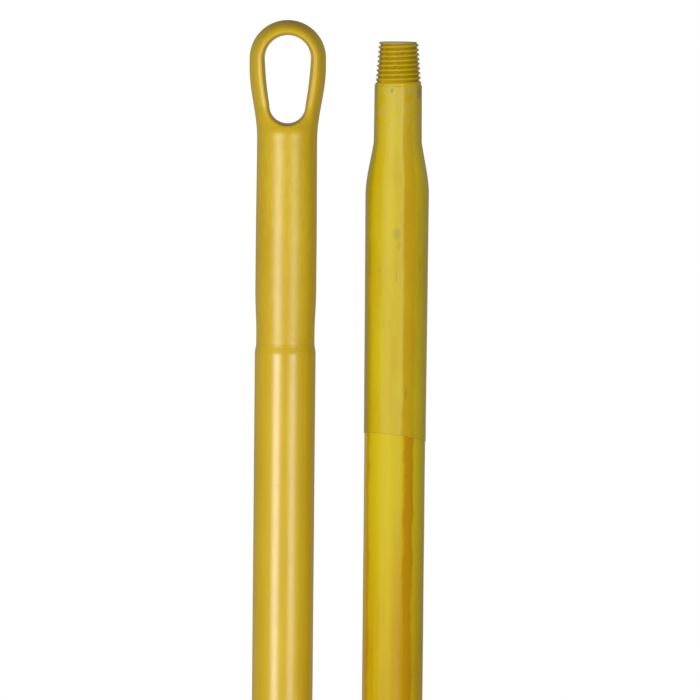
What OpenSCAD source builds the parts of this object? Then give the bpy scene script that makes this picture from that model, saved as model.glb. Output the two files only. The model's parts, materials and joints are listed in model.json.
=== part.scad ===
/* [Sections] */
// Length of the handle section, from the top of its loop to the end of its thread
handle_len = 624; // [480:1:1500]
// Length of the extension section, from the end of its thread to the mouth of its socket
extension_len = 622; // [460:1:1500]
// Distance between the axes of the two sections, lying side by side
section_gap = 50.4; // [45:0.1:120]
// Height of the extension's thread end above the centre of the hang eye
extension_rise = 7.9; // [-20:0.1:20]

/* [Hang grip] */
// Radius of the round upper end of the hang eye
eye_r = 10.5; // [8:0.1:14]
// Radius of the round lower end of the hang eye
eye_foot_r = 8.2; // [6:0.1:10]
// Distance from the eye's upper centre to its lower centre
eye_drop = 21.5; // [12:0.1:30]
// Width of the loop's ring, seen from the front
ring_w = 6.9; // [5:0.1:9]
// Thickness of the loop from front to back
loop_depth = 15; // [12:0.1:20]
// Diameter of the grip just under the loop
grip_root_d = 27.4; // [26.5:0.1:30]
// Diameter of the grip at its fullest
grip_full_d = 27.9; // [26.5:0.1:31]
// Diameter of the grip at its lower end, the waist
waist_d = 26.6; // [26:0.1:28]
// Distance from the centre of the eye to the waist
grip_len = 130; // [115:1:170]

/* [Tube and jacket] */
// Outside diameter of the core tube
tube_d = 24; // [22:0.1:25]
// Wall of the core tube
tube_wall = 1.4; // [0.8:0.1:2]
// Outside diameter of the plastic jacket on the tube
jacket_d = 27.8; // [27:0.1:30]
// Length of the chamfer on the jacket's upper end, under the waist
jacket_step = 4.5; // [2:0.1:8]

/* [Threaded tip] */
// Major diameter of the tapered thread at its end
thread_end_d = 18.1; // [16:0.1:19]
// Major diameter of the tapered thread at its root end
thread_root_d = 20.7; // [19:0.1:21.5]
// Length of the full thread
thread_len = 17.5; // [12:0.1:24]
// Number of threads in an inch
thread_tpi = 12; // [8:1:14]
// Depth of the thread
thread_depth = 0.9; // [0.5:0.05:1.2]
// Length over which the thread runs out into the neck
thread_runout = 2.7; // [1:0.1:5]
// Angle by which the thread's start is turned round its axis
thread_turn = 240; // [0:5:355]
// Diameter of the plain neck under the thread
neck_d = 21.8; // [21:0.1:23]
// Length of the neck
neck_len = 25.3; // [15:0.1:40]
// Length of the shoulder from the neck to the full body
shoulder_len = 24.3; // [15:0.1:40]
// Diameter of the tip's body at the shoulder
tip_d = 29; // [28:0.1:31]
// Diameter of the tip's body at its lower edge
tip_skirt_d = 28.3; // [27.5:0.1:30]
// Length of the whole tip, from the thread's end to its lower edge
tip_len = 180.5; // [150:0.5:220]
// Slant of the tip's lower edge, in degrees from square to the axis
seam_slant = 11.4; // [0:0.1:15]
// Direction of the slant's low side, in degrees from the right towards the back
seam_turn = 50; // [-180:5:180]

/* [Cores and pins] */
// Length of each core inside its tube
core_plug_len = 40; // [25:1:60]
// Diameter of a core's nose in the shoulder of its moulding
nose_d = 14; // [12:0.5:15]
// Diameter of a tip core's nose inside the thread
nose_end_d = 9; // [6:0.5:10]
// Solid plastic left at the end of the thread
nose_cover = 6; // [4:0.5:10]
// Diameter of the cross pins
pin_d = 3; // [2:0.5:4]

/* [Socket] */
// Outside diameter of the metal ferrule round the socket
ferrule_d = 28.9; // [28:0.1:31]
// Wall of the ferrule
ferrule_wall = 0.9; // [0.6:0.1:1.2]
// Solid floor between the socket's thread and its spigot
socket_floor = 4; // [3:0.5:8]
// Radial clearance between the socket and the tip that screws into it
socket_clear = 0.25; // [0.2:0.05:0.35]

/* [Fits] */
// Radial glue gap between a moulding or jacket and what it sits on
slip = 0.05; // [0.02:0.01:0.1]
// Gap left where two ends meet
butt = 0.1; // [0.05:0.01:0.2]

/* [Hidden] */
$fn = 96;
eps = 0.01;
over = 1;                                     // how far a cut reaches past what it cuts

// Loop and grip
loop_r = eye_r + ring_w;
eye_end = -eye_drop - eye_foot_r;             // lowest point of the hang eye
eye_floor = 8;                                // solid plastic under the hang eye
shoulder_top = -4;                            // where the loop starts to narrow
shoulder_foot = eye_end - 7.3;                // where the loop has become the round grip
grip_wall_top = shoulder_foot - 13;           // top of the tube inside the grip
loop_edge = 3;                                // bevel on the loop's top, front and back
loop_deepens = -eye_drop;                     // where the loop starts to thicken
loop_full = eye_end - 5;                      // where it is as thick as the round grip
full_depth = grip_full_d / 2 + 0.5;           // clear of the grip, which is round from there on

// Diameters of the grip, each with its place as a fraction of the grip's length
grip_belly = [[grip_full_d, 0.64], [grip_full_d, 0.82], [waist_d + 0.3, 0.91],
              [waist_d, 0.97], [waist_d, 1]];

// Tube and fits
tube_r = tube_d / 2;
tube_bore_r = tube_r - tube_wall;
sleeve_bore_r = tube_r + slip;
plug_r = tube_bore_r - slip;

// Threaded tip, with distances measured from the thread's end
pitch = 25.4 / thread_tpi;
thread_rows = 6;                              // rows of points in one pitch
thread_cols = 36;                             // points round the thread
end_chamfer = 0.45;                           // how far the thread's end face is drawn in
neck_top = thread_len + thread_runout;
neck_foot = neck_top + neck_len;
shoulder_end = neck_foot + shoulder_len;
tube_stop = shoulder_end + 5;                 // where the tube ends inside the tip
neck_core_stop = neck_foot - 10;              // where the core's nose steps down
thread_sink = 1.5;                            // how far the threaded end reaches into the neck
thread_foot_r = neck_d / 2 - 0.5;             // its radius in there
skirt_taper_end = tip_len - 4;                // where the body stops tapering
skirt_spare = tip_len + 6;                    // body before its lower edge is cut slanting

// Where the sections lie
handle_tip_z = loop_r - handle_len;
waist_z = -grip_len;
extension_foot_z = extension_rise - extension_len;

// Socket, with heights measured from the ferrule's mouth
lip = 1;                                      // how far the ferrule is turned in under the cup
mouth_r = neck_d / 2 + socket_clear + 0.4;
socket_bore_r = neck_d / 2 + socket_clear;
cup_r = ferrule_d / 2 - ferrule_wall - slip;
thread_start = lip + neck_len;                // where the socket's thread begins
cup_top = thread_start + neck_top + socket_floor;

function ease(s) = s + s * s - s * s * s;
function smooth(s) = (1 - cos(180 * s)) / 2;
function mix(a, b, s) = a + (b - a) * s;

// Radius of the thread at a distance below its end and an angle: a tapered crest, less a round wave
function crest_r(t) = t < thread_len
    ? mix(thread_end_d, thread_root_d, t / thread_len) / 2
    : mix(thread_root_d, neck_d - 0.1, (t - thread_len) / thread_runout) / 2;
function thread_cut(t) = thread_depth * (t < thread_len ? 1 : 1 - (t - thread_len) / thread_runout);
function thread_wave(t, a) = (1 + cos(360 * t / pitch + a - thread_turn)) / 2;
function thread_r(t, a) =
    min(crest_r(t) - thread_cut(t) * (1 - thread_wave(t, a)), thread_end_d / 2 - end_chamfer + t);

// The threaded end of a tip, a little longer than the thread so that it runs into the neck
module thread_rod(grow = 0) {
    rows = ceil(neck_top / pitch * thread_rows);
    rings = rows + 2;
    cols = thread_cols;
    points = [
        for (i = [0 : rings - 1], j = [0 : cols - 1])
            let (a = 360 * j / cols,
                 inside = i == rings - 1,
                 t = inside ? neck_top + thread_sink : neck_top * i / rows,
                 r = (inside ? thread_foot_r : thread_r(t, a)) + grow)
            [r * cos(a), r * sin(a), -t]
    ];
    sides = [
        for (i = [0 : rings - 2], j = [0 : cols - 1])
            let (a = i * cols + j, b = i * cols + (j + 1) % cols)
            each [[a, b, a + cols], [b, b + cols, a + cols]]
    ];
    last = (rings - 1) * cols;
    top_cap = [for (j = [1 : cols - 2]) [0, j + 1, j]];
    foot_cap = [for (j = [1 : cols - 2]) [last, last + j, last + j + 1]];
    polyhedron(points, concat(sides, top_cap, foot_cap), convexity = 10);
}

// Everything below a slanted plane through the axis at height z, inside a radius
module below_seam(z, r) {
    translate([0, 0, z])
        rotate([0, seam_slant, seam_turn])
            translate([-2 * r, -2 * r, -handle_len - extension_len])
                cube([4 * r, 4 * r, handle_len + extension_len]);
}

// Outside of a tip: neck, shoulder and body, with the thread's end at z = 0 and pointing up
module tip_outside() {
    steps = 12;
    outline = concat(
        [[0, -neck_top], [neck_d / 2, -neck_top]],
        [for (i = [0 : steps])
            [mix(neck_d, tip_d, ease(i / steps)) / 2, -neck_foot - shoulder_len * i / steps]],
        [[tip_skirt_d / 2, -skirt_taper_end], [tip_skirt_d / 2, -skirt_spare], [0, -skirt_spare]]
    );
    rotate_extrude() polygon(outline);
    thread_rod();
}

module tip() {
    difference() {
        tip_outside();
        below_seam(-tip_len, tip_d);
        // the tube's seat
        translate([0, 0, -skirt_spare - over])
            cylinder(r = sleeve_bore_r, h = skirt_spare + over - tube_stop);
        // the seats of the core's nose
        translate([0, 0, -tube_stop - eps])
            cylinder(d = nose_d + 2 * slip, h = tube_stop - neck_core_stop + eps);
        translate([0, 0, -neck_core_stop - eps])
            cylinder(d = nose_end_d + 2 * slip, h = neck_core_stop - nose_cover + eps);
    }
}

// Core of a tip: a plug in the tube with a stepped nose up into the thread
module tip_core() {
    difference() {
        union() {
            translate([0, 0, -tube_stop - core_plug_len])
                cylinder(r = plug_r, h = core_plug_len - butt);
            translate([0, 0, -tube_stop - butt - eps])
                cylinder(d = nose_d, h = tube_stop - neck_core_stop + eps);
            translate([0, 0, -neck_core_stop - butt - eps])
                cylinder(d = nose_end_d, h = neck_core_stop - nose_cover + eps);
        }
        pin_hole(-tube_stop - butt - core_plug_len / 2);
    }
}

// A cross pin lies along Y, through the tube and the core in it
module pin_hole(z) {
    translate([0, 0, z])
        rotate([90, 0, 0])
            cylinder(d = pin_d + 2 * slip, h = 4 * tube_r, center = true);
}

module cross_pin(z) {
    translate([0, 0, z])
        rotate([90, 0, 0])
            cylinder(d = pin_d, h = tube_d - 2 * butt, center = true);
}

// A length of core tube between two heights, drilled for its two pins
module core_tube(z_low, z_high) {
    difference() {
        translate([0, 0, z_low]) cylinder(r = tube_r, h = z_high - z_low);
        translate([0, 0, z_low - over]) cylinder(r = tube_bore_r, h = z_high - z_low + 2 * over);
        pin_hole(z_high - core_plug_len / 2);
        pin_hole(z_low + core_plug_len / 2);
    }
}

// Front outline of the loop and the grip, one half: a quarter circle that eases into the round grip
module grip_outline() {
    arc_steps = 18;
    steps = 10;
    polygon(concat(
        [for (i = [0 : arc_steps])
            let (a = 90 - 90 * i / arc_steps) [loop_r * cos(a), loop_r * sin(a)]],
        [[loop_r, shoulder_top]],
        [for (i = [1 : steps])
            [mix(loop_r, grip_root_d / 2, smooth(i / steps)),
             mix(shoulder_top, shoulder_foot, i / steps)]],
        [for (station = grip_belly) [station[0] / 2, waist_z * station[1]]],
        [[0, waist_z]]
    ));
}

// Side outline of the loop, which thickens from the top of the loop to the round grip
module side_outline() {
    steps = 10;
    front = concat(
        [[loop_depth / 2 - loop_edge, loop_r + over], [loop_depth / 2, loop_r - over - loop_edge]],
        [for (i = [0 : steps])
            [mix(loop_depth / 2, full_depth, smooth(i / steps)), mix(loop_deepens, loop_full, i / steps)]],
        [[full_depth, waist_z - over]]
    );
    last = len(front) - 1;
    polygon(concat(front, [for (i = [0 : last]) [-front[last - i][0], front[last - i][1]]]));
}

// Outline of the hang eye
module eye_outline() {
    lean = asin((eye_r - eye_foot_r) / eye_drop);
    circle(r = eye_r);
    translate([0, -eye_drop]) circle(r = eye_foot_r);
    polygon([for (side = [-1, 1], k = [side, -side])
        let (r = side < 0 ? eye_r : eye_foot_r, z = side < 0 ? 0 : -eye_drop)
        [k * r * cos(lean), z - r * sin(lean)]]);
}

module hang_grip() {
    color("goldenrod")
    difference() {
        intersection() {
            rotate_extrude() grip_outline();
            rotate([90, 0, 90])
                linear_extrude(4 * loop_r, center = true) side_outline();
        }
        rotate([90, 0, 0])
            linear_extrude(4 * loop_r, center = true) eye_outline();
        // the tube's seat, and the seat of the core's nose above it
        translate([0, 0, waist_z - over])
            cylinder(r = sleeve_bore_r, h = grip_wall_top - waist_z + over);
        translate([0, 0, grip_wall_top - eps])
            cylinder(d = nose_d + 2 * slip, h = eye_end - eye_floor - grip_wall_top);
    }
}

module grip_core() {
    nose_top = eye_end - eye_floor - butt;
    color("dimgray")
    difference() {
        union() {
            translate([0, 0, grip_wall_top - core_plug_len])
                cylinder(r = plug_r, h = core_plug_len - butt);
            translate([0, 0, grip_wall_top - butt - eps])
                cylinder(d = nose_d, h = nose_top - grip_wall_top);
        }
        pin_hole(grip_wall_top - butt - core_plug_len / 2);
    }
}

module handle_tube() {
    color("silver") core_tube(handle_tip_z + tube_stop + butt, grip_wall_top - butt);
}

module handle_jacket() {
    top = waist_z - butt;
    step_foot = top - jacket_step;
    color("goldenrod")
    difference() {
        rotate_extrude()
            polygon([[sleeve_bore_r, top], [waist_d / 2, top], [jacket_d / 2, step_foot],
                     [jacket_d / 2, handle_tip_z], [sleeve_bore_r, handle_tip_z]]);
        translate([0, 0, handle_tip_z]) rotate([180, 0, 0]) above_seam_tip();
    }
}

// The space that a tip takes from a jacket, with the gap between them
module above_seam_tip() {
    difference() {
        translate([0, 0, -skirt_spare]) cylinder(r = tip_d, h = skirt_spare + over);
        below_seam(-tip_len - butt, tip_d);
    }
}

module handle_tip() {
    color("gold") translate([0, 0, handle_tip_z]) rotate([180, 0, 0]) tip();
}

module handle_tip_core() {
    color("dimgray") translate([0, 0, handle_tip_z]) rotate([180, 0, 0]) tip_core();
}

module handle_pins() {
    color("silver") {
        cross_pin(grip_wall_top - butt - core_plug_len / 2);
        cross_pin(handle_tip_z + tube_stop + butt + core_plug_len / 2);
    }
}

module extension_tip() {
    color("gold") translate([section_gap, 0, extension_rise]) tip();
}

module extension_tip_core() {
    color("dimgray") translate([section_gap, 0, extension_rise]) tip_core();
}

module extension_tube() {
    color("silver")
        translate([section_gap, 0, 0])
            core_tube(extension_foot_z + cup_top + butt, extension_rise - tube_stop - butt);
}

module extension_jacket() {
    foot = extension_foot_z + cup_top + butt;
    color("gold")
        translate([section_gap, 0, 0])
            difference() {
                translate([0, 0, foot]) cylinder(d = jacket_d, h = extension_rise - foot);
                translate([0, 0, foot - over])
                    cylinder(r = sleeve_bore_r, h = extension_rise - foot + 2 * over);
                translate([0, 0, extension_rise]) above_seam_tip();
            }
}

module socket_insert() {
    color("dimgray")
        translate([section_gap, 0, extension_foot_z])
            difference() {
                union() {
                    translate([0, 0, lip + slip]) cylinder(r = cup_r, h = cup_top - lip - slip);
                    translate([0, 0, cup_top - eps]) cylinder(r = plug_r, h = core_plug_len + eps);
                }
                translate([0, 0, -over]) cylinder(r = socket_bore_r, h = thread_start + over);
                translate([0, 0, thread_start + neck_top]) thread_rod(socket_clear);
                pin_hole(cup_top + butt + core_plug_len / 2);
            }
}

module socket_ferrule() {
    out_r = ferrule_d / 2;
    in_r = out_r - ferrule_wall;
    color("silver")
        translate([section_gap, 0, extension_foot_z])
            rotate_extrude()
                polygon([[mouth_r, 0], [out_r - lip, 0], [out_r, lip], [out_r, cup_top],
                         [in_r, cup_top], [in_r, lip], [mouth_r, lip]]);
}

module extension_pins() {
    color("silver")
        translate([section_gap, 0, 0]) {
            cross_pin(extension_rise - tube_stop - butt - core_plug_len / 2);
            cross_pin(extension_foot_z + cup_top + butt + core_plug_len / 2);
        }
}

hang_grip();
grip_core();
handle_tube();
handle_jacket();
handle_tip();
handle_tip_core();
handle_pins();
extension_tip();
extension_tip_core();
extension_tube();
extension_jacket();
socket_insert();
socket_ferrule();
extension_pins();
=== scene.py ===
import json
import math

import bmesh
import bpy
import numpy as np
from mathutils import Matrix, Quaternion, Vector

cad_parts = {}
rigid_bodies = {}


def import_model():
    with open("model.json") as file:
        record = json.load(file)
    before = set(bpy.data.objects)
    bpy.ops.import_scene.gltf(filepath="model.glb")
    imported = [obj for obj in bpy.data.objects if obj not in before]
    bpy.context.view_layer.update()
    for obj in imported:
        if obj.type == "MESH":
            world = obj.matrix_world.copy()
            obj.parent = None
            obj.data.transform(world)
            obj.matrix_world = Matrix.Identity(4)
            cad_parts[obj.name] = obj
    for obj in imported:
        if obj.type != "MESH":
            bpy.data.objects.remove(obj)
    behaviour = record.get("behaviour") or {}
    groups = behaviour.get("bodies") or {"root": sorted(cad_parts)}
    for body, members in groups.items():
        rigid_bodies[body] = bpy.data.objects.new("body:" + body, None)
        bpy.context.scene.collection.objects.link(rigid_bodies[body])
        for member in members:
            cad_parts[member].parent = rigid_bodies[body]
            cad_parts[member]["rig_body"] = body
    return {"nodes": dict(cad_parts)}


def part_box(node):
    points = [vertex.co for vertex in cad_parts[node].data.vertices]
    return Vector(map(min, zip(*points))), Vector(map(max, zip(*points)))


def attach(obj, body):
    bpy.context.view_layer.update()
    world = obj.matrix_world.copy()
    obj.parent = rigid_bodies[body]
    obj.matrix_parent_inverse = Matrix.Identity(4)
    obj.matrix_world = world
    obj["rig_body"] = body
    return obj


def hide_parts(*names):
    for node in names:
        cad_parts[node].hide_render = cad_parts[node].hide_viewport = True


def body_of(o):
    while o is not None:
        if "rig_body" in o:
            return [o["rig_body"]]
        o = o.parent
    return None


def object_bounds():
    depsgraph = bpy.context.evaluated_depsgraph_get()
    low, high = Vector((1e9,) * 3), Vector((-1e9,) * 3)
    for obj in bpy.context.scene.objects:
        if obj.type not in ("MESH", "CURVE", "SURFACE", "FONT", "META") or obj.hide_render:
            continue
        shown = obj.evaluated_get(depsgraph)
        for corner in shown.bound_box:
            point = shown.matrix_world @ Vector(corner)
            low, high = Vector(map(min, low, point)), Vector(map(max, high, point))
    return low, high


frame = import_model()
cadLow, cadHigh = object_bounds()
mm = 0.001
tau = 2 * math.pi

jacketLow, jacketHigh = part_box("handle_jacket")
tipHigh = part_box("extension_tip")[1]
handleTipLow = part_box("handle_tip")[0]
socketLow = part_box("socket_ferrule")[0]
extLow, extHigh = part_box("extension_jacket")
handleX = (jacketLow[0] + jacketHigh[0]) / 2
extensionX = (extLow[0] + extHigh[0]) / 2

# the camera looks a little down on the upper half of both sections
cameraSet = {
    "distance": 3.2,
    "elevation": 4.2,      # degrees
    "roll": 0.55,          # degrees
    "pictureWidth": 0.3196,
    "aimAside": 0.00436,   # from the middle between the sections
    "aimBelowTop": 0.1503,
}


def makeCamera():
    s = cameraSet
    aim = Vector(((handleX + extensionX) / 2 + s["aimAside"], 0, cadHigh[2] - s["aimBelowTop"]))
    tilt = math.radians(s["elevation"])
    back = Vector((0, -math.cos(tilt), math.sin(tilt)))
    data = bpy.data.cameras.new("camera")
    data.sensor_width = 36
    data.lens = data.sensor_width * s["distance"] / s["pictureWidth"]
    data.clip_start = 0.1
    data.clip_end = 60
    camera = bpy.data.objects.new("camera", data)
    bpy.context.scene.collection.objects.link(camera)
    camera.location = aim + back * s["distance"]
    camera.rotation_mode = "QUATERNION"
    turn = Quaternion((0, 0, 1), math.radians(s["roll"]))
    camera.rotation_quaternion = (-back).to_track_quat("-Z", "Y") @ turn
    bpy.context.scene.camera = camera


makeCamera()
print("camera placed")


# a grid of points (rows, columns, 3) becomes quads; wrapped columns close on themselves
def gridFaces(rows, cols, wrap, first):
    i = np.arange(rows - 1)[:, None]
    j = np.arange(cols if wrap else cols - 1)[None, :]
    k = (j + 1) % cols
    quads = np.stack([i * cols + j, i * cols + k, (i + 1) * cols + k, (i + 1) * cols + j], -1)
    return quads.reshape(-1, 4) + first


# joins grids of metres into one closed smooth mesh: doubles are merged, then normals turned outwards
def makePiece(name, grids, body, node, material):
    points, faces, first = [], [], 0
    for grid, wrap in grids:
        rows, cols = grid.shape[:2]
        points.append(grid.reshape(-1, 3))
        faces.append(gridFaces(rows, cols, wrap, first))
        first += rows * cols
    points = np.concatenate(points)
    faces = np.concatenate(faces)
    mesh = bpy.data.meshes.new(name)
    mesh.vertices.add(len(points))
    mesh.vertices.foreach_set("co", points.astype(np.float32).ravel())
    mesh.loops.add(faces.size)
    mesh.loops.foreach_set("vertex_index", faces.astype(np.int32).ravel())
    mesh.polygons.add(len(faces))
    mesh.polygons.foreach_set("loop_start", np.arange(0, faces.size, 4, dtype=np.int32))
    mesh.update(calc_edges=True)
    work = bmesh.new()
    work.from_mesh(mesh)
    bmesh.ops.remove_doubles(work, verts=work.verts, dist=2e-6)
    bmesh.ops.dissolve_degenerate(work, edges=work.edges, dist=1e-7)
    bmesh.ops.recalc_face_normals(work, faces=work.faces)
    for face in work.faces:
        face.smooth = True
    openEdges = sum(1 for edge in work.edges if not edge.is_manifold)
    volume = work.calc_volume(signed=True)
    if volume < 0:
        bmesh.ops.reverse_faces(work, faces=work.faces)
    work.to_mesh(mesh)
    work.free()
    piece = bpy.data.objects.new(name, mesh)
    bpy.context.scene.collection.objects.link(piece)
    mesh.materials.append(material)
    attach(piece, body)
    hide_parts(node)
    print(name, len(mesh.polygons), "faces,", openEdges, "open edges,", round(volume * 1e9), "mm3")
    return piece


# a surface of revolution: rows of radius and height, each a column or a full array, about an axis at x
def turned(radius, height, angles, axisX):
    radius = np.broadcast_to(radius, (len(radius), len(angles)))
    height = np.broadcast_to(height, (len(height), len(angles)))
    x = axisX + radius * np.cos(angles)
    y = radius * np.sin(angles)
    return np.stack([x, y, height], -1)


# a smooth wander over angle and height: a sum of slow sines with seeded phases
def wander(angles, height, seed, turns, span):
    rng = np.random.default_rng(seed)
    total = 0
    for n in range(1, turns + 1):
        phase = rng.uniform(0, tau, 2)
        rate = tau / (span * rng.uniform(0.7, 1.5))
        total = total + np.sin(n * angles + phase[0]) * np.sin(rate * height + phase[1]) / n
    return total / 2


def smooth(s):
    s = np.clip(s, 0, 1)
    return s * s * (3 - 2 * s)


def mix(a, b, s):
    return a + (b - a) * s


# rows that crowd together at both ends of a stretch
def crowded(a, b, count):
    return mix(a, b, (1 - np.cos(np.linspace(0, math.pi, count))) / 2)


# sRGB hex to linear colour
def linear(hexColour, alpha=1.0):
    parts = [int(hexColour[k:k + 2], 16) / 255 for k in (1, 3, 5)]
    return [p / 12.92 if p <= 0.04045 else ((p + 0.055) / 1.055) ** 2.4 for p in parts] + [alpha]


# adds a node, sets its properties, and fills its inputs with values or links
def addNode(tree, kind, inputs=None, **settings):
    node = tree.nodes.new(kind)
    for key, value in settings.items():
        setattr(node, key, value)
    for key, value in (inputs or {}).items():
        if isinstance(value, bpy.types.NodeSocket):
            tree.links.new(value, node.inputs[key])
        else:
            node.inputs[key].default_value = value
    return node


def newMaterial(name):
    material = bpy.data.materials.new(name)
    material.use_nodes = True
    tree = material.node_tree
    tree.nodes.clear()
    place = addNode(tree, "ShaderNodeTexCoord").outputs["Object"]
    return material, tree, place


def finishMaterial(tree, colour, roughness, height, bumpMm, **constants):
    inputs = {"Base Color": colour, "Roughness": roughness}
    if height is not None:
        bump = addNode(tree, "ShaderNodeBump", {"Height": height, "Distance": bumpMm * mm, "Strength": 1.0})
        inputs["Normal"] = bump.outputs["Normal"]
    inputs.update({key.replace("_", " "): value for key, value in constants.items()})
    shader = addNode(tree, "ShaderNodeBsdfPrincipled", inputs)
    addNode(tree, "ShaderNodeOutputMaterial", {"Surface": shader.outputs["BSDF"]})


# noise whose features are sizeMm across, stretched along z by a factor
def noise(tree, place, sizeMm, stretch=1.0, detail=2.0, shift=0.0):
    mapped = addNode(tree, "ShaderNodeMapping", {"Vector": place, "Location": (shift, shift, shift),
                                                 "Scale": (1, 1, 1 / stretch)})
    return addNode(tree, "ShaderNodeTexNoise", {"Vector": mapped.outputs["Vector"],
                                                "Scale": 1 / (sizeMm * mm), "Detail": detail,
                                                "Roughness": 0.55}).outputs["Fac"]


# a value remapped from one span to another, clamped
def remap(tree, value, low, high, toLow, toHigh):
    return addNode(tree, "ShaderNodeMapRange", {"Value": value, "From Min": low, "From Max": high,
                                                "To Min": toLow, "To Max": toHigh}).outputs["Result"]


def calc(tree, operation, a, b=0.0):
    return addNode(tree, "ShaderNodeMath", {0: a, 1: b}, operation=operation).outputs[0]


# sqrt(a^2 + b^2)
def length(tree, a, b):
    return calc(tree, "SQRT", calc(tree, "ADD", calc(tree, "MULTIPLY", a, a), calc(tree, "MULTIPLY", b, b)))


def blendColour(tree, factor, a, b):
    node = addNode(tree, "ShaderNodeMix", data_type="RGBA")
    for key, value in (("Factor_Float", factor), ("A_Color", a), ("B_Color", b)):
        socket = next(s for s in node.inputs if s.identifier == key)
        if isinstance(value, bpy.types.NodeSocket):
            tree.links.new(value, socket)
        else:
            socket.default_value = value
    return next(s for s in node.outputs if s.identifier == "Result_Color")


def axisValue(tree, place, axis):
    return addNode(tree, "ShaderNodeSeparateXYZ", {"Vector": place}).outputs[axis]


# angle round a pole's axis in degrees: 0 at the front, growing towards +X, +-180 at the back
def angleRound(tree, place, axisX):
    x = calc(tree, "SUBTRACT", axisValue(tree, place, "X"), axisX)
    y = calc(tree, "MULTIPLY", axisValue(tree, place, "Y"), -1.0)
    return calc(tree, "DEGREES", calc(tree, "ARCTAN2", x, y))


# strips along a pole: each rises from 0 between its first two angles and falls between its last two,
# times its strength; where strips overlap the stronger one shows
def strips(tree, angle, bands):
    total = None
    for start, full, end, gone, strength in bands:
        rise = remap(tree, angle, start, full, 0, strength)
        band = calc(tree, "MULTIPLY", rise, remap(tree, angle, end, gone, 1, 0))
        total = band if total is None else calc(tree, "MAXIMUM", total, band)
    return total


# oval marks at an angle and depth: strength times 1 in the middle, falling to 0 just past the rim
def ovals(tree, angle, depth, marks):
    total = None
    for atAngle, atDepth, halfAngle, halfDepth, strength in marks:
        u = calc(tree, "DIVIDE", calc(tree, "SUBTRACT", angle, atAngle), halfAngle)
        v = calc(tree, "DIVIDE", calc(tree, "SUBTRACT", depth, atDepth * mm), halfDepth * mm)
        away = length(tree, u, v)
        oval = remap(tree, away, 0.45, 1.25, strength, 0)
        total = oval if total is None else calc(tree, "MAXIMUM", total, oval)
    return total


satinSet = {
    "body": "#CFAE16",
    "shade": "#C4A112",
    "pale": "#D9BE58",
    "grainMm": 0.35,
    "grainHeightMm": 0.012,
}


# Polypropylene, moulded or extruded with a satin skin: soft broad highlights, faint draw streaks
# along the pole, a fine mould grain and a few paler rub marks
def satinPolypropylene(name, streak, roughness):
    s = satinSet
    material, tree, place = newMaterial(name)
    drawn = noise(tree, place, 1.6, stretch=streak, detail=3, shift=0.3)
    cloudy = noise(tree, place, 22, stretch=2.5, detail=2, shift=1.7)
    tone = calc(tree, "MULTIPLY", drawn, cloudy)
    colour = blendColour(tree, remap(tree, tone, 0.12, 0.4, 0, 1), linear(s["shade"]), linear(s["body"]))
    rubbed = noise(tree, place, 3.0, stretch=3, detail=6, shift=4.1)
    rub = remap(tree, rubbed, 0.66, 0.74, 0, 0.35)
    colour = blendColour(tree, rub, colour, linear(s["pale"]))
    grain = noise(tree, place, s["grainMm"], detail=2, shift=2.2)
    height = calc(tree, "ADD", grain, calc(tree, "MULTIPLY", drawn, 0.8))
    rough = remap(tree, calc(tree, "ADD", rubbed, calc(tree, "MULTIPLY", drawn, 0.5)),
                  0.4, 1.0, *roughness)
    finishMaterial(tree, colour, rough, height, s["grainHeightMm"], IOR=1.49)
    return material


# a threaded tip, in millimetres from the end of its thread
tipShape = {
    "endMajor": 9.05,
    "rootMajor": 10.35,
    "thread": 17.5,
    "runout": 2.7,
    "pitch": 25.4 / 12,
    "threadDepth": 0.95,
    "threadTurn": 240,      # degrees; turns the crests round to where the thread starts
    "neck": (10.8, 10.98),
    "neckFoot": 45.5,
    "shoulder": 24.3,
    "body": 14.5,
    "skirt": 14.15,
    "length": 180.5,
    "slant": 11.4,
    "slantTurn": 50,
    "partingAngle": 220,      # degrees; the mould's parting line, and its other side opposite
    "nickAngle": 261,         # degrees; a dent in one crest
    "nickDepth": 10.9,
    "nickSize": (4, 0.55),    # spread in degrees and in mm
    "nickCut": 0.55,
    "flash": (0.14, 1.6),     # height of the parting line, and its spread in degrees
    "flats": (0.35, 5.0),     # share of the crests taken off beside it, and its spread in degrees
    "flatBelow": 0.75,        # under the major radius, where the flattened crests lean to
    "chamfer": (0.45, 1.1),   # cut at the end face, and its slope
    "ragged": (0.22, 0.8),    # unevenness of the chamfer, and the depth over which it fades
    "skirtRim": 0.1,
    "slantEase": 16,          # length over which the slant fades out
    "waviness": 0.05,
    "bores": ((12.05, 74.8), (7.05, 35.5), (4.55, 6.0)),
    "columns": 216,
}

tipSet = {
    "body": "#E2C90E",
    "shade": "#D9B90B",
    "amber": "#D09A04",
    "olive": "#8F7C12",
    "worn": "#CBC6A2",
    "smudge": "#7F7748",
    "threadRootShade": "#6B4B02",
    "roughness": (0.13, 0.24),
    # strips along the body: first and last angles of rise and of fall, in degrees, and strength
    # the amber strip from 11 to 40 degrees is painted shade just right of the front, past the reflection's
    # edge; the other two are flow streaks
    "amberStreaksAndShade": ((11, 15, 33, 40, 0.55), (88, 96, 108, 120, 0.5), (-138, -128, -118, -108, 0.6)),
    # the olive strip from -100 to -50 degrees is painted shade down the left side; the one at the back is a
    # flow streak
    "oliveShadeAndStreak": ((-100, -90, -62, -50, 0.5), (152, 158, 166, 174, 0.3)),
    # marks: angle, depth under the thread's end in mm, half width in degrees, half height in mm,
    # strength
    "marks": ((-15, 21.9, 3.2, 1.0, 0.75), (62, 22.5, 11, 3.4, 0.5), (-1, 87, 7, 3.2, 0.3),
              (4, 92, 4, 2.4, 0.22), (19.7, 159.5, 1.4, 3.6, 0.5), (73, 90, 2.2, 1.4, 0.6),
              (63, 124.7, 2.6, 1.8, 0.4),
              (-33, 103.6, 2.4, 1.2, 0.3), (46, 101, 2.2, 1.4, 0.25), (168, 60, 8, 4, 0.35),
              (-120, 128, 3, 6, 0.4), (118, 34, 9, 3, 0.4)),
}
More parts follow.
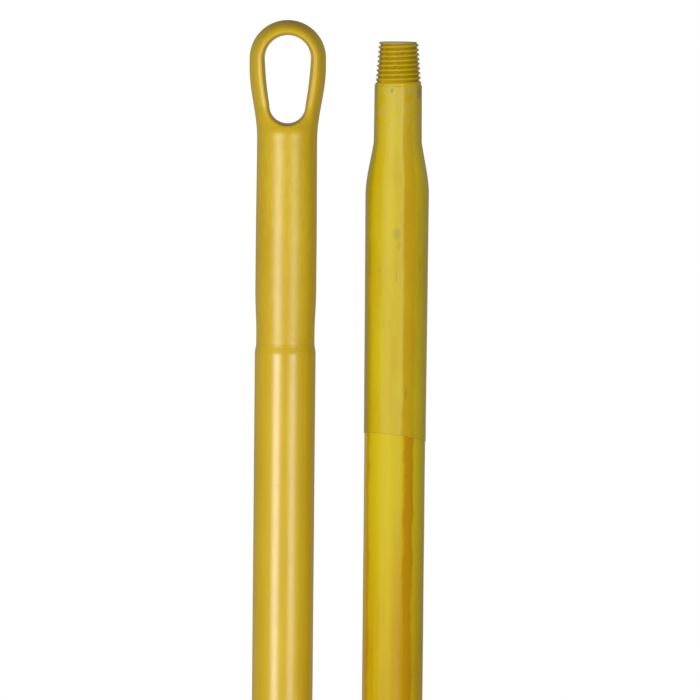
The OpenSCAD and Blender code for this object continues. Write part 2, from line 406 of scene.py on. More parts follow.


# Nylon, injection moulded and polished by handling: soft mirror reflections over lemon yellow, amber and
# olive flow streaks along the body, grey scuffs on the neck, and a pale worn end. The amber strip just
# right of the front and the olive strip down the left side are painted shade, and the thread's roots are
# darkened with painted shade
def polishedNylon(name, endZ, direction, axisX):
    s = tipSet
    material, tree, place = newMaterial(name)
    flow = noise(tree, place, 5, stretch=14, detail=3, shift=0.9)
    fine = noise(tree, place, 0.9, stretch=8, detail=4, shift=3.3)
    cloud = noise(tree, place, 9, stretch=2.5, detail=4, shift=7.1)
    tone = calc(tree, "ADD", calc(tree, "MULTIPLY", flow, 0.5), calc(tree, "MULTIPLY", cloud, 0.5))
    colour = blendColour(tree, remap(tree, tone, 0.36, 0.62, 0, 1), linear(s["shade"]), linear(s["body"]))
    depth = calc(tree, "MULTIPLY", calc(tree, "SUBTRACT", endZ, axisValue(tree, place, "Z")), direction)
    bare = angleRound(tree, place, axisX)
    wobble = noise(tree, place, 6, stretch=2, detail=5, shift=5.2)
    angle = calc(tree, "ADD", bare, remap(tree, wobble, 0.3, 0.7, -3, 3))
    mottle = remap(tree, wobble, 0.35, 0.6, 0.75, 1)
    under = remap(tree, depth, 18 * mm, 21 * mm, 0, 1)
    uneven = calc(tree, "MULTIPLY", mottle, under)
    # amber: painted shade just right of the front, and flow streaks elsewhere
    amber = calc(tree, "MULTIPLY", strips(tree, angle, s["amberStreaksAndShade"]), uneven)
    colour = blendColour(tree, amber, colour, linear(s["amber"]))
    # olive: painted shade down the left side, and a streak at the back
    colour = blendColour(tree, strips(tree, angle, s["oliveShadeAndStreak"]), colour, linear(s["olive"]))
    # the thread is deeper gold, and brown with painted shade in its roots
    x = calc(tree, "SUBTRACT", axisValue(tree, place, "X"), axisX)
    y = axisValue(tree, place, "Y")
    reach = length(tree, x, y)
    shape = tipShape
    crest = remap(tree, depth, 0, shape["thread"] * mm, shape["endMajor"] * mm, shape["rootMajor"] * mm)
    # how far a point sits below the crest: the mask of the painted shade in the roots
    root = remap(tree, calc(tree, "SUBTRACT", crest, reach), 0.35 * mm, 0.9 * mm, 0, 0.55)
    onThread = remap(tree, depth, shape["thread"] * mm, (shape["thread"] + 3) * mm, 1, 0)
    colour = blendColour(tree, calc(tree, "MULTIPLY", onThread, 0.25), colour, linear(s["amber"]))
    # painted shade, darkest at the thread's roots
    colour = blendColour(tree, calc(tree, "MULTIPLY", onThread, root), colour, linear(s["threadRootShade"]))
    speck = noise(tree, place, 1.8, stretch=2, detail=5, shift=6.4)
    nearEnd = remap(tree, depth, 0.1 * mm, 0.9 * mm, 0.8, 0)
    onNeck = calc(tree, "MULTIPLY", remap(tree, depth, 20 * mm, 60 * mm, 0.3, 0), under)
    scuffed = calc(tree, "MULTIPLY", remap(tree, speck, 0.42, 0.75, 0, 1), onNeck)
    wear = calc(tree, "MAXIMUM", nearEnd, scuffed)
    colour = blendColour(tree, wear, colour, linear(s["worn"]))
    soft = calc(tree, "ADD", bare, remap(tree, speck, 0.3, 0.7, -1.5, 1.5))
    marked = ovals(tree, soft, depth, s["marks"])
    scratch = remap(tree, noise(tree, place, 2.4, stretch=7, detail=4, shift=8.8), 0.7, 0.76, 0, 0.4)
    colour = blendColour(tree, calc(tree, "MAXIMUM", marked, scratch), colour, linear(s["smudge"]))
    rough = remap(tree, fine, 0.3, 0.7, *s["roughness"])
    rough = calc(tree, "ADD", rough, calc(tree, "MULTIPLY", wear, 0.35))
    height = calc(tree, "ADD", flow, calc(tree, "MULTIPLY", fine, 0.12))
    finishMaterial(tree, colour, rough, height, 0.05, IOR=1.53, Specular_IOR_Level=0.27)
    return material


drawnSet = {
    "body": "#E3C00A",
    "deep": "#DAB108",
    "lemon": "#E6D016",
    "amber": "#D19902",
    "paintedFringeShade": (-10, 12, 24, 28, 0.65),    # painted shade beside the front streak, away from the tip
    "roughness": (0.14, 0.22),
    # the strips from -68 to -54 degrees and from 13 to 39 degrees are painted shade, at the left edge and
    # just right of the front past the reflection's edge; the others are die streaks
    "amberStreaksAndShade": ((-68, -64, -59, -54, 0.7), (13, 20, 35, 39, 1.0), (84, 92, 110, 116, 0.8),
                    (138, 148, 168, 174, 0.6), (-152, -142, -120, -112, 0.9)),
}


# Polypropylene jacket, extruded and glossy: the die leaves amber streaks with frayed edges that run its
# whole length, and finer ones between them. The amber strip just right of the front and the one at the left
# edge are painted shade, as is the fringe beside the front one
def glossyJacket(name, axisX, topZ):
    s = drawnSet
    material, tree, place = newMaterial(name)
    wobble = noise(tree, place, 5, stretch=2.2, detail=6, shift=5.2)
    angle = calc(tree, "ADD", angleRound(tree, place, axisX), remap(tree, wobble, 0.3, 0.7, -3.5, 3.5))
    fineStreak = noise(tree, place, 2.2, stretch=60, detail=3, shift=7.7)
    cloud = noise(tree, place, 7, stretch=3, detail=4, shift=9.3)
    tone = calc(tree, "ADD", calc(tree, "MULTIPLY", fineStreak, 0.6), calc(tree, "MULTIPLY", cloud, 0.4))
    colour = blendColour(tree, remap(tree, tone, 0.38, 0.6, 1, 0), linear(s["body"]), linear(s["deep"]))
    # paler towards the tip, where handling has worn the surface
    high = remap(tree, axisValue(tree, place, "Z"), topZ - 100 * mm, topZ - 25 * mm, 0, 0.8)
    colour = blendColour(tree, high, colour, linear(s["lemon"]))
    # painted shade beside the front streak, fading out towards the tip
    paintedFringeShade = calc(tree, "MULTIPLY", strips(tree, angle, [s["paintedFringeShade"]]), calc(tree, "SUBTRACT", 1.0, high))
    # amber: painted shade at the left edge and right of the front, and die streaks elsewhere
    amber = calc(tree, "MAXIMUM", strips(tree, angle, s["amberStreaksAndShade"]), paintedFringeShade)
    colour = blendColour(tree, amber, colour, linear(s["amber"]))
    fine = noise(tree, place, 0.8, stretch=5, detail=4, shift=1.1)
    rough = remap(tree, fine, 0.3, 0.7, *s["roughness"])
    height = calc(tree, "ADD", fineStreak, calc(tree, "MULTIPLY", fine, 0.1))
    finishMaterial(tree, colour, rough, height, 0.04, IOR=1.49, Specular_IOR_Level=0.18)
    return material


# Aluminium, turned or drawn: fine rings round the axis when turned, fine lines along it when drawn
def brushedAluminium(name, turnedRings):
    material, tree, place = newMaterial(name)
    stretch = 1 / 40 if turnedRings else 40
    sizeMm = 12 if turnedRings else 0.6
    lines = noise(tree, place, sizeMm, stretch=stretch, detail=4, shift=2.5)
    cloud = noise(tree, place, 9, detail=3, shift=5.5)
    colour = blendColour(tree, remap(tree, lines, 0.3, 0.7, 0, 1), linear("#9C9EA1"), linear("#CDCFD1"))
    colour = blendColour(tree, remap(tree, cloud, 0.6, 0.8, 0, 0.3), colour, linear("#7E7F80"))
    rough = remap(tree, lines, 0.2, 0.8, 0.26, 0.44)
    finishMaterial(tree, colour, rough, lines, 0.02, Metallic=1.0)
    return material


# Nylon with glass fibre, moulded: dark grey, matt, with short pale fibres just under the skin
def glassFilledNylon(name):
    material, tree, place = newMaterial(name)
    fibre = noise(tree, place, 0.5, stretch=5, detail=5, shift=3.9)
    cloud = noise(tree, place, 6, detail=2, shift=0.4)
    colour = blendColour(tree, remap(tree, fibre, 0.55, 0.75, 0, 0.6), linear("#2B2C2E"), linear("#55575A"))
    colour = blendColour(tree, remap(tree, cloud, 0.3, 0.7, 0, 0.3), colour, linear("#1C1D1E"))
    rough = remap(tree, fibre, 0.3, 0.7, 0.45, 0.62)
    finishMaterial(tree, colour, rough, fibre, 0.03, IOR=1.53)
    return material


# Steel pin, drawn and zinc plated: bluish grey with a slightly cloudy plate
def zincSteel(name):
    material, tree, place = newMaterial(name)
    cloud = noise(tree, place, 1.2, detail=4, shift=2.8)
    colour = blendColour(tree, remap(tree, cloud, 0.3, 0.7, 0, 1), linear("#8F9498"), linear("#B9BEC2"))
    rough = remap(tree, cloud, 0.3, 0.7, 0.28, 0.42)
    finishMaterial(tree, colour, rough, cloud, 0.01, Metallic=1.0)
    return material


gripPlastic = satinPolypropylene("polypropyleneMouldedSatin", 4, (0.33, 0.41))
jacketPlastic = satinPolypropylene("polypropyleneExtrudedSatin", 60, (0.27, 0.34))
extensionTipPlastic = polishedNylon("nylonMouldedPolishedExtension", tipHigh[2], 1.0, extensionX)
handleTipPlastic = polishedNylon("nylonMouldedPolishedHandle", cadLow[2], -1.0, handleX)
extensionPlastic = glossyJacket("polypropyleneExtrudedGlossy", extensionX, extHigh[2])
ferruleMetal = brushedAluminium("aluminiumTurned", True)
tubeMetal = brushedAluminium("aluminiumDrawn", False)
corePlastic = glassFilledNylon("nylonGlassFilledMoulded")
pinMetal = zincSteel("steelZincPlated")
print("materials made")

# the loop and grip, in millimetres from the centre of the hang eye
gripSet = {
    "eye": 10.5,
    "eyeFoot": 8.2,
    "eyeDrop": 21.5,
    "loopOut": 17.4,
    "neckIn": (4.0, 37.0),        # depths between which the loop narrows to the grip
    "root": 13.7,
    "full": 13.9,
    "waist": 13.3,
    "sideFoot": 28.0,             # depth on the side that faces the foot of the eye's straight side
    "bow": 0.35,                  # outward bow of the eye's straight sides
    "belly": (40, 45),            # depth where the belly begins, and its length
    "taper": (106, 20),           # depth where the waist begins, and its length
    "closeRows": 104,             # depth where the rows get closer
    "length": 130.0,
    "rim": 0.04,                  # rounding of the lower edge
    "halfDepth": 7.7,             # of the loop's ridge, front to back
    "ridge": 1.75,                # from the eye's edge
    "footLip": 0.9,               # width of the rounding under the eye
    "fullRound": (21.0, 34.5),    # depths between which the loop thickens to the round grip
    "ringToDome": 10.0,           # depth over which the ring's section turns into the dome
    "split": 41.0,                # depth where the loop's grid meets the grip's
    "cutCount": 30,               # columns of a quarter of the grip there
    "bore": 12.05,
    "boreTop": 50.0,
}


# half width of the grip at a depth: constant, then an eased narrowing, then a shallow belly
def gripWidth(depth):
    s = gripSet
    a, b = s["neckIn"]
    loop = mix(s["loopOut"], s["root"], (1 - np.cos(math.pi * np.clip((depth - a) / (b - a), 0, 1))) / 2)
    belly = (s["full"] - s["root"]) * smooth((depth - s["belly"][0]) / s["belly"][1])
    taper = (s["full"] - s["waist"]) * smooth((depth - s["taper"][0]) / s["taper"][1])
    return loop + belly - taper


# half depth of the grip, front to back: thin at the loop, as deep as it is wide below
def gripDepth(depth):
    s = gripSet
    a, b = s["fullRound"]
    return mix(s["halfDepth"], gripWidth(depth), smooth((depth - a) / (b - a)))


# thickness at a point of the front view. Round the eye: an elliptical lip rises to a ridge, and from
# there H(1 - u^2.2)^0.85 falls to the outer edge, u being the way there. Further down: the dome of the
# round grip, b sqrt(1 - q^2), with a narrower lip
def domeHeight(x, z, fromEye, fromEdge):
    s = gripSet
    u = np.clip((fromEye - s["ridge"]) / np.maximum(fromEye + fromEdge - s["ridge"], 1e-6), 0, 1)
    near = np.clip(fromEye / s["ridge"], 0, 1)
    ring = gripDepth(-z) * (1 - u ** 2.2) ** 0.85 * np.sqrt(1 - (1 - near) ** 2)
    q = np.abs(x) / gripWidth(-z)
    near = np.clip(fromEye / s["footLip"], 0, 1)
    dome = gripDepth(-z) * np.sqrt(np.clip(1 - q ** 2, 0, 1)) * np.sqrt(1 - (1 - near) ** 2)
    return mix(ring, dome, smooth((-z - s["fullRound"][0]) / s["ringToDome"]))


# points on the eye's edge and on the outer edge that face each other, clockwise from the top
def loopEdges():
    s = gripSet
    arc = np.linspace(0, math.pi / 2, 60)
    eye = [np.stack([s["eye"] * np.sin(arc), s["eye"] * np.cos(arc)], -1)]
    out = [np.stack([s["loopOut"] * np.sin(arc), s["loopOut"] * np.cos(arc)], -1)]
    # the straight side of the eye, bowed out a little, faces the side of the loop
    f = np.linspace(0, 1, 50)[1:]
    bow = s["bow"] * np.sin(math.pi * f)
    eye.append(np.stack([mix(s["eye"], s["eyeFoot"], f) + bow, -s["eyeDrop"] * f], -1))
    depth = s["sideFoot"] * f
    out.append(np.stack([gripWidth(depth), -depth], -1))
    # the first half of the eye's foot faces the rest of the side, the second half the split line
    arc = np.linspace(0, math.pi / 4, 26)[1:]
    eye.append(np.stack([s["eyeFoot"] * np.cos(arc), -s["eyeDrop"] - s["eyeFoot"] * np.sin(arc)], -1))
    depth = mix(s["sideFoot"], s["split"], arc / arc[-1])
    out.append(np.stack([gripWidth(depth), -depth], -1))
    arc = np.linspace(math.pi / 4, math.pi / 2, s["cutCount"] + 1)[1:]
    eye.append(np.stack([s["eyeFoot"] * np.cos(arc), -s["eyeDrop"] - s["eyeFoot"] * np.sin(arc)], -1))
    across = gripWidth(s["split"]) * np.cos(np.linspace(0, math.pi / 2, s["cutCount"] + 1)[1:])
    out.append(np.stack([across, np.full(s["cutCount"], -s["split"])], -1))
    return np.concatenate(eye), np.concatenate(out)


# the loop's front as a sheet between its two edges; the back and the left are its mirror images
def makeGrip():
    s = gripSet
    eye, out = loopEdges()
    v = crowded(0, 1, 44)[:, None, None]
    flat = eye[None] + (out - eye)[None] * v
    fromEye = np.linalg.norm(flat - eye[None], axis=-1)
    fromEdge = np.linalg.norm(flat - out[None], axis=-1)
    high = domeHeight(flat[..., 0], flat[..., 1], fromEye, fromEdge)
    high[-1, :-s["cutCount"]] = 0
    right = np.stack([flat[..., 0], -high, flat[..., 1]], -1)
    right[:, 0, 0] = 0
    right[:, -1, 0] = 0
    grids = []
    for flipX in (1, -1):
        for flipY in (1, -1):
            sheet = right * np.array([flipX, flipY, 1])
            grids.append((sheet * mm + [handleX, 0, 0], False))
    # below the split: an ellipse at each depth, whose columns meet the sheets' columns
    quarter = np.linspace(0, math.pi / 2, s["cutCount"] + 1)
    angles = np.concatenate([quarter, quarter[1:] + math.pi / 2, quarter[1:] + math.pi,
                             quarter[1:-1] + 3 * math.pi / 2])
    depth = np.concatenate([np.linspace(s["split"], s["closeRows"], 90),
                            np.linspace(s["closeRows"], s["length"] - s["rim"], 50)[1:]])
    width, deep = gripWidth(depth)[:, None], gripDepth(depth)[:, None]
    edge = np.radians(np.linspace(0, 90, 6))[1:, None]
    width = np.concatenate([width, s["waist"] - s["rim"] * (1 - np.cos(edge))])
    deep = np.concatenate([deep, s["waist"] - s["rim"] * (1 - np.cos(edge))])
    depth = np.concatenate([depth[:, None], s["length"] - s["rim"] * (1 - np.sin(edge))])
    inside = np.array([[s["length"], s["bore"]], [s["boreTop"], s["bore"]], [s["boreTop"], 0]])
    width = np.concatenate([width, inside[:, 1:]])
    deep = np.concatenate([deep, inside[:, 1:]])
    depth = np.concatenate([depth, inside[:, :1]])
    ring = np.stack([width * np.cos(angles), -deep * np.sin(angles), -depth + 0 * angles], -1)
    grids.append((ring * mm + [handleX, 0, 0], True))
    return makePiece("hangGrip", grids, "handle", "hang_grip", gripPlastic)


makeGrip()

# the jackets; the handle's starts with a cone under the grip's waist
jacketSet = {
    "bore": 12.05,
    "waist": 13.3,
    "cone": 4.5,
    "ringDepth": 65.2,     # faint ring, below the jacket's upper end
    "ringCut": 0.07,
    "ringSpread": 0.35,
    "waviness": 0.03,
    "slant": 11.4,         # degrees, of the end that meets a tip
    "slantTurn": 50,       # degrees from +X towards the back, of the slant's low side
    "reach": 0.08,         # closes most of the gap to the piece above or below
    "slantEase": 14,       # length over which the slant fades out
    "rim": 0.05,
    "columns": 192,
}


# outside radius: the box's, less a slow wander of up to twice the waviness; the cone eases from the
# waist by 0.3 f + 0.7 (3f^2 - 2f^3). Closed through the bore. A slanted end is shifted by the slope
# times the distance towards its low side
def makeJacket(name, node, body, material, low, high, axisX, coneTop, slantTop, seed):
    s = jacketSet
    angles = np.linspace(0, tau, s["columns"], endpoint=False)
    out = (high[0] - low[0]) / 2 / mm
    top, foot = high[2] / mm, low[2] / mm
    slope = math.tan(math.radians(s["slant"]))
    drop = out * slope
    # the box reaches to the higher side of a slanted end, so its middle is lower by the slant
    if slantTop:
        top = top - drop + s["reach"]
    else:
        foot = foot + drop - s["reach"]
        top = top + s["reach"]
    rim = s["rim"]
    edge = np.radians(np.linspace(0, 90, 5))
    topRadius = s["waist"] if coneTop else out
    radius = [np.array([s["bore"]]), topRadius - rim + rim * np.sin(edge)]
    height = [np.array([top]), top - rim + rim * np.cos(edge)]
    if coneTop:
        f = np.linspace(0, 1, 24)[1:]
        radius.append(mix(s["waist"], out, 0.3 * f + 0.7 * smooth(f)))
        height.append(top - rim - (s["cone"] - rim) * f)
    start = height[-1][-1]
    run = np.linspace(start, foot + rim, 260)[1:]
    fromRing = (high[2] / mm - s["ringDepth"] - run) / s["ringSpread"]
    groove = s["ringCut"] * np.exp(-fromRing ** 2) if coneTop else 0
    radius.append(out - groove + 0 * run)
    height.append(run)
    radius.append(out - rim + rim * np.cos(edge[1:]))
    height.append(foot + rim - rim * np.sin(edge[1:]))
    radius.append(np.array([s["bore"], s["bore"], s["bore"]]))
    height.append(np.array([foot, (foot + top) / 2, top]))
    radius, height = np.concatenate(radius)[:, None], np.concatenate(height)[:, None]
    outside = np.arange(len(radius))[:, None] < len(radius) - 3
    fade = smooth((top - height) / 12) * smooth((height - foot) / 12) * outside
    wave = s["waviness"] * (wander(angles, height, seed, 5, 55) - 0.5) * fade
    radius = radius + np.minimum(wave, 0)
    turn = math.radians(s["slantTurn"])
    tilt = slope * radius * np.cos(angles - turn if slantTop else angles + turn)
    if slantTop:
        height = height - tilt * smooth((height - (top - s["slantEase"])) / s["slantEase"])
    else:
        height = height + tilt * smooth(((foot + s["slantEase"]) - height) / s["slantEase"])
    grid = turned(radius * mm, height * mm, angles, axisX)
    return makePiece(name, [(grid, True)], body, node, material)


makeJacket("handleJacket", "handle_jacket", "handle", jacketPlastic,
           jacketLow, jacketHigh, handleX, True, False, 11)
makeJacket("extensionJacket", "extension_jacket", "extension",
           extensionPlastic, extLow, extHigh, extensionX, False, True, 23)

# difference between two angles in degrees, from -180 to 180
def angleGap(a, b):
    return (a - b + 180) % 360 - 180


# radius of the thread: a tapered major, less a wave with rounded crests and sharp roots that climbs
# one pitch in a turn, faded out into the neck
def threadRadius(t, angles, grow=0.0):
    s = tipShape
    major = mix(s["endMajor"], s["rootMajor"], np.clip(t / s["thread"], 0, 1))
    out = np.clip((t - s["thread"]) / s["runout"], 0, 1)
    major = mix(major, s["neck"][0], smooth(out))
    wave = (1 + np.cos(tau * t / s["pitch"] + angles - math.radians(s["threadTurn"]))) / 2
    return major + grow - s["threadDepth"] * (1 - out) * (1 - wave)


# the shoulder starts at a slope of 1 and ends level: f + f^2 - f^3
def shoulderEase(f):
    return f + f ** 2 - f ** 3


# a tip is one surface of revolution in depth under its thread's end: the thread, flattened and flashed
# at the mould's parting line by exp(-(a / width)^2), a straight neck, the shoulder, the body that
# narrows evenly to the skirt, and back up through the stepped bores
def makeTip(name, node, body, material, endZ, axisX, up, seed):
    s = tipShape
    angles = np.linspace(0, tau, s["columns"], endpoint=False)
    degrees = np.degrees(angles)
    # radii and depths of the outside, row by row
    threadFoot = s["thread"] + s["runout"]
    t = np.arange(0.0, threadFoot, s["pitch"] / 22)[:, None]
    radius = threadRadius(t, angles)
    parting = np.minimum(np.abs(angleGap(degrees, s["partingAngle"])),
                         np.abs(angleGap(degrees, s["partingAngle"] + 180)))
    flash = s["flash"][0] * np.exp(-(parting / s["flash"][1]) ** 2)
    flat = s["flats"][0] * np.exp(-(parting / s["flats"][1]) ** 2)
    major = threadRadius(t, math.radians(s["threadTurn"]) - tau * t / s["pitch"])
    radius = radius - flat * (radius - (major - s["flatBelow"])) + flash
    aside, along = s["nickSize"]
    nick = np.exp(-(angleGap(degrees, s["nickAngle"]) / aside) ** 2 - ((t - s["nickDepth"]) / along) ** 2)
    radius = radius - s["nickCut"] * nick
    cut, rise = s["chamfer"]
    rag = wander(angles, 0.0 * t, seed + 5, 14, 9) * s["ragged"][0]
    chamfer = s["endMajor"] - cut + rise * t + rag * np.exp(-t / s["ragged"][1])
    radius = np.minimum(radius, chamfer)
    rows = [radius]
    depths = [t + 0 * angles]
    neck = np.linspace(threadFoot, s["neckFoot"] - 0.4, 26)[:, None]
    along = (neck - threadFoot) / (s["neckFoot"] - threadFoot)
    rows.append(mix(s["neck"][0], s["neck"][1], along) + 0 * angles)
    depths.append(neck + 0 * angles)
    f = np.linspace(0, 1, 60)[1:, None]
    rows.append(mix(s["neck"][1], s["body"], shoulderEase(f)) + 0 * angles)
    depths.append(s["neckFoot"] + s["shoulder"] * f + 0 * angles)
    bodyTop = s["neckFoot"] + s["shoulder"]
    f = np.linspace(0, 1, 120)[1:, None]
    long = bodyTop + (s["length"] - s["skirtRim"] - bodyTop) * f
    rows.append(mix(s["body"], s["skirt"], f) + 0 * angles)
    depths.append(long + 0 * angles)
    edge = np.radians(np.linspace(0, 90, 5))[1:, None]
    rows.append(s["skirt"] - s["skirtRim"] * (1 - np.cos(edge)) + 0 * angles)
    depths.append(s["length"] - s["skirtRim"] * (1 - np.sin(edge)) + 0 * angles)
    radius, depth = np.concatenate(rows), np.concatenate(depths)
    # the moulding is never quite true: slow waves under the thread
    fade = smooth((depth - threadFoot) / 6) * smooth((s["length"] - depth) / 10)
    radius = radius + s["waviness"] * (wander(angles, depth, seed, 4, 60) - 0.6) * fade
    # inside: from the skirt's edge up the stepped bores to a closed end
    inner = [(s["bores"][0][0], s["length"])]
    for k, (bore, top) in enumerate(s["bores"]):
        inner.append((bore, top))
        after = s["bores"][k + 1][0] if k + 1 < len(s["bores"]) else 0
        inner.append((after, top))
    inner = np.array(inner)
    radius = np.concatenate([radius, inner[:, :1] + 0 * angles])
    depth = np.concatenate([depth, inner[:, 1:] + 0 * angles])
    # the end face closes the top
    radius = np.concatenate([0 * angles[None], radius[:1] * 0.6, radius])
    depth = np.concatenate([0 * angles[None] + 0.12, 0 * angles[None] + 0.1, depth])
    lean = math.tan(math.radians(s["slant"])) * radius * np.cos(angles - math.radians(s["slantTurn"]))
    depth = depth + lean * smooth((depth - (s["length"] - s["slantEase"])) / s["slantEase"])
    grid = turned(radius * mm, -depth * mm, angles, 0.0)
    if not up:
        grid = grid * np.array([1, -1, -1])
    grid = grid + np.array([axisX, 0, endZ])
    return makePiece(name, [(grid, True)], body, node, material)


makeTip("extensionTip", "extension_tip", "extension", extensionTipPlastic, tipHigh[2], extensionX, True, 31)
makeTip("handleTip", "handle_tip", "handle", handleTipPlastic, handleTipLow[2], handleX, False, 47)

# the socket at the extension's foot, in millimetres from the ferrule's mouth
socketSet = {
    "lip": 1.0,
    "bore": 11.15,
    "threadStart": 26.3,
    "threadLength": 20.2,
    "clear": 0.25,
    "cup": 13.5,
    "cupTop": 50.5,
    "spigot": 10.55,
    "spigotLength": 40.0,
    "mouth": 11.55,
    "ferrule": 14.45,
    "wall": 0.9,
    "mouthGap": 0.05,          # from the ferrule's turned lip to the cup
    "mouthChamfer": 0.3,
    "topRim": 0.3,
    "beads": (39.0, 43.5),     # heights of two rolled grooves
    "beadCut": 0.3,
    "beadSpread": 0.55,
}


# a thin sleeve, turned in at the mouth, with two shallow rolled grooves
def makeFerrule():
    s = socketSet
    angles = np.linspace(0, tau, 192, endpoint=False)
    edge = np.radians(np.linspace(0, 90, 10))
    rim = s["topRim"]
    height = np.linspace(s["lip"], s["cupTop"] - rim, 150)[1:]
    grooves = sum(s["beadCut"] * np.exp(-((height - bead) / s["beadSpread"]) ** 2) for bead in s["beads"])
    radius = [np.array([s["mouth"], s["mouth"]]), s["ferrule"] - s["lip"] + s["lip"] * np.sin(edge),
              s["ferrule"] - grooves, s["ferrule"] - rim * (1 - np.cos(edge[1:])),
              np.array([s["ferrule"] - s["wall"], s["ferrule"] - s["wall"], s["mouth"]])]
    rise = [np.array([s["lip"], 0.15]), s["lip"] * (1 - np.cos(edge)), height,
            s["cupTop"] - rim + rim * np.sin(edge[1:]), np.array([s["cupTop"], s["lip"], s["lip"]])]
    radius, rise = np.concatenate(radius)[:, None], np.concatenate(rise)[:, None]
    grid = turned(radius * mm, rise * mm + socketLow[2], angles, extensionX)
    return makePiece("socketFerrule", [(grid, True)], "extension",
                     "socket_ferrule", ferruleMetal)


# a cup with a chamfered mouth, the tip's thread sunk in its bore, and a spigot on its floor
def makeInsert():
    s = socketSet
    angles = np.linspace(0, tau, 192, endpoint=False)
    t = np.linspace(s["threadLength"], 0, 200)[:, None]
    thread = np.minimum(threadRadius(t, angles, s["clear"]), s["bore"])
    top = s["threadStart"] + s["threadLength"]
    mouth = s["lip"] + s["mouthGap"]
    before = np.array([[s["cup"], mouth], [s["bore"] + s["mouthChamfer"], mouth],
                       [s["bore"], mouth + 0.35], [s["bore"], s["threadStart"]]])
    after = np.array([[s["spigot"], s["cupTop"] + s["spigotLength"]], [s["spigot"], s["cupTop"]],
                      [s["cup"], s["cupTop"]], [s["cup"], mouth]])
    radius = np.concatenate([before[:, :1] + 0 * angles, thread])
    rise = np.concatenate([before[:, 1:] + 0 * angles, top - t + 0 * angles])
    hole = turned(radius * mm, rise * mm + socketLow[2], angles, extensionX)
    floor = turned(np.array([[1.0], [0.0]]) * thread[-1] * mm, np.full((2, 1), top * mm) + socketLow[2],
                   angles, extensionX)
    outRadius = np.concatenate([[[0.0]], after[:, :1]])
    outRise = np.concatenate([after[:1, 1:], after[:, 1:]])
    outside = turned(outRadius * mm, outRise * mm + socketLow[2], angles, extensionX)
    return makePiece("socketInsert", [(hole, True), (floor, True), (outside, True)], "extension",
                     "socket_insert", corePlastic)


makeFerrule()
makeInsert()
print("pieces made")

# the pieces inside keep their shape and get a finish
for nodeName, finish in (("grip_core", corePlastic), ("handle_tip_core", corePlastic),
                         ("extension_tip_core", corePlastic), ("handle_tube", tubeMetal),
                         ("extension_tube", tubeMetal), ("handle_pins", pinMetal),
                         ("extension_pins", pinMetal)):
    mesh = frame["nodes"][nodeName].data
    mesh.materials.clear()
    mesh.materials.append(finish)

# pale floor, white surroundings, and a set of soft lights for each section
stageSet = {
    "floorDrop": 0.001,
    "floorRadius": 2.4,
    "surround": 0.18,      # radiance of the surroundings, and what a glossy surface mirrors of them
    "mirrored": 0.36,
    "stripDistance": 1.6,
    "sunStrength": 2.6,
    "sunBlur": 30,         # degrees
    # azimuth, half width in degrees, radiance, lowest and highest point
    "handleLights": ((-31, 11.5, 15.5, -0.6, -0.01), (30, 10.5, 9.6, -0.6, -0.01)),
    "extensionLights": ((-16, 42, 1.5, -1.0, 0.9), (-28, 11, 0.7, -1.0, 0.9), (18, 8.5, 0.9, -1.0, 0.9)),
}


def makeFloor():
    s = stageSet
    work = bmesh.new()
    bmesh.ops.create_circle(work, cap_ends=True, segments=128, radius=s["floorRadius"])
    mesh = bpy.data.meshes.new("floor")
    work.to_mesh(mesh)
    work.free()
    mesh.transform(Matrix.Translation((0, 0, cadLow[2] - s["floorDrop"])))
    material, tree, place = newMaterial("floorPaintedBoard")
    cloud = noise(tree, place, 300, detail=2)
    colour = blendColour(tree, cloud, linear("#E9E8E4"), linear("#F3F2EF"))
    finishMaterial(tree, colour, remap(tree, cloud, 0, 1, 0.8, 0.9), None, 0)
    mesh.materials.append(material)
    floor = bpy.data.objects.new("floor", mesh)
    bpy.context.scene.collection.objects.link(floor)
    floor.visible_diffuse = False
    floor.visible_glossy = False
    return floor


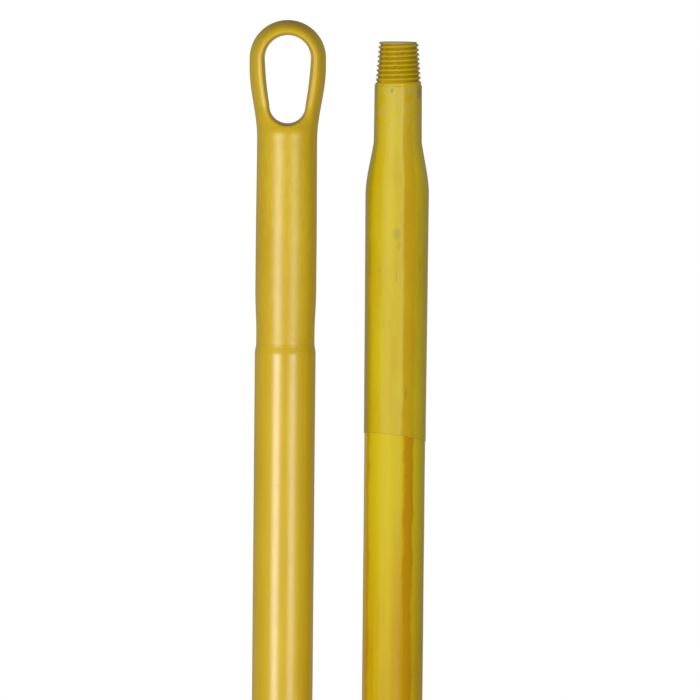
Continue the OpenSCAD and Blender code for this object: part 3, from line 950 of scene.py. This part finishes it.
# an area light that spans an azimuth range as seen from a section, and lights only some pieces
def makePanel(name, azimuth, halfWidth, radiance, low, high, axisX, receivers):
    s = stageSet
    a = math.radians(azimuth)
    data = bpy.data.lights.new(name, "AREA")
    data.shape = "RECTANGLE"
    data.size = 2 * s["stripDistance"] * math.tan(math.radians(halfWidth))
    data.size_y = high - low
    data.energy = radiance * math.pi * data.size * data.size_y
    light = bpy.data.objects.new(name, data)
    bpy.context.scene.collection.objects.link(light)
    away = s["stripDistance"]
    light.location = (axisX + away * math.sin(a), -away * math.cos(a), (low + high) / 2)
    light.rotation_mode = "QUATERNION"
    light.rotation_quaternion = Vector((-math.sin(a), math.cos(a), 0)).to_track_quat("-Z", "Y")
    light.visible_camera = False
    light.light_linking.receiver_collection = receivers
    return light


def makeStage():
    s = stageSet
    scene = bpy.context.scene
    floor = makeFloor()
    groups = {body: bpy.data.collections.new(body + "Lit") for body in ("handle", "extension")}
    for piece in list(scene.objects):
        if piece.type != "MESH" or piece is floor:
            continue
        for body in body_of(piece) or []:
            if body in groups:
                groups[body].objects.link(piece)
    for k, panel in enumerate(s["handleLights"]):
        makePanel("handlePanel%d" % k, *panel, handleX, groups["handle"])
    for k, panel in enumerate(s["extensionLights"]):
        makePanel("extensionPanel%d" % k, *panel, extensionX, groups["extension"])
    onFloor = bpy.data.collections.new("floorLit")
    onFloor.objects.link(floor)
    data = bpy.data.lights.new("floorSun", "SUN")
    data.energy = s["sunStrength"]
    data.angle = math.radians(s["sunBlur"])
    sun = bpy.data.objects.new("floorSun", data)
    scene.collection.objects.link(sun)
    sun.rotation_euler = (math.radians(25), math.radians(15), 0)
    sun.light_linking.receiver_collection = onFloor
    world = bpy.data.worlds.new("surround")
    world.use_nodes = True
    tree = world.node_tree
    tree.nodes.clear()
    path = addNode(tree, "ShaderNodeLightPath").outputs
    mirrored = remap(tree, path["Is Glossy Ray"], 0, 1, s["surround"], s["mirrored"])
    strength = calc(tree, "MAXIMUM", mirrored, path["Is Camera Ray"])
    background = addNode(tree, "ShaderNodeBackground", {"Color": linear("#FFFFFF"), "Strength": strength})
    addNode(tree, "ShaderNodeOutputWorld", {"Surface": background.outputs["Background"]})
    scene.world = world
    scene.view_settings.view_transform = "Standard"
    scene.view_settings.look = "None"


makeStage()
print("stage made")
